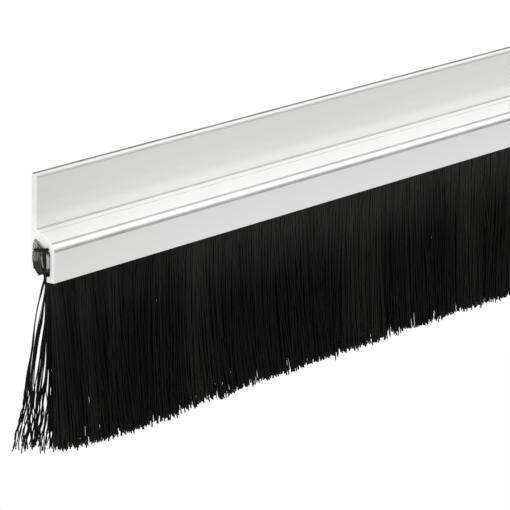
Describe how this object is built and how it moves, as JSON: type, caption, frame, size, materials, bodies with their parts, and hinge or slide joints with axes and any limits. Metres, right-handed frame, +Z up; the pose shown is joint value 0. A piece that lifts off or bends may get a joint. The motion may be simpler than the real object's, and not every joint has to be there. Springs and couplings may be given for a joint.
{
  "type": "door sweep",
  "caption": "Door bottom brush sweep: an h-shaped aluminium carrier with a flange for screws, holding a slide-in strip brush of long, flexible black bristles.",
  "frame": {"origin": "middle of the row of fixing holes, on the flange's back face", "axes": "+X along the strip, +Y out of the back face into the door, +Z up from the bristles towards the flange"},
  "size_m": [1.0012, 0.01, 0.0521],
  "materials": {
    "aluminium": "satin silver anodised extrusion",
    "zinc_steel": "dull galvanised strip steel",
    "wire_steel": "drawn steel wire",
    "bristle": "black nylon monofilament"
  },
  "bodies": {
    "carrier": {"carrier_profile": "aluminium"},
    "brush": {"brush_channel": "zinc_steel", "core_wire": "wire_steel", "bristle_roots": "bristle"},
    "bristles": {"front_bristle_row": "bristle", "rear_bristle_row": "bristle"}
  },
  "joints": [
    {"name": "brush_slide", "type": "slide", "parent": "carrier", "child": "brush", "axis": [-1, 0, 0], "range_m": [0, 0.9]},
    {"name": "bristle_flex", "type": "hinge", "parent": "brush", "child": "bristles", "pos_m": [0, -0.00395, -0.01445], "axis": [1, 0, 0], "range_deg": [-35, 35], "stiffness_Nm_per_rad": 0.25}
  ]
}
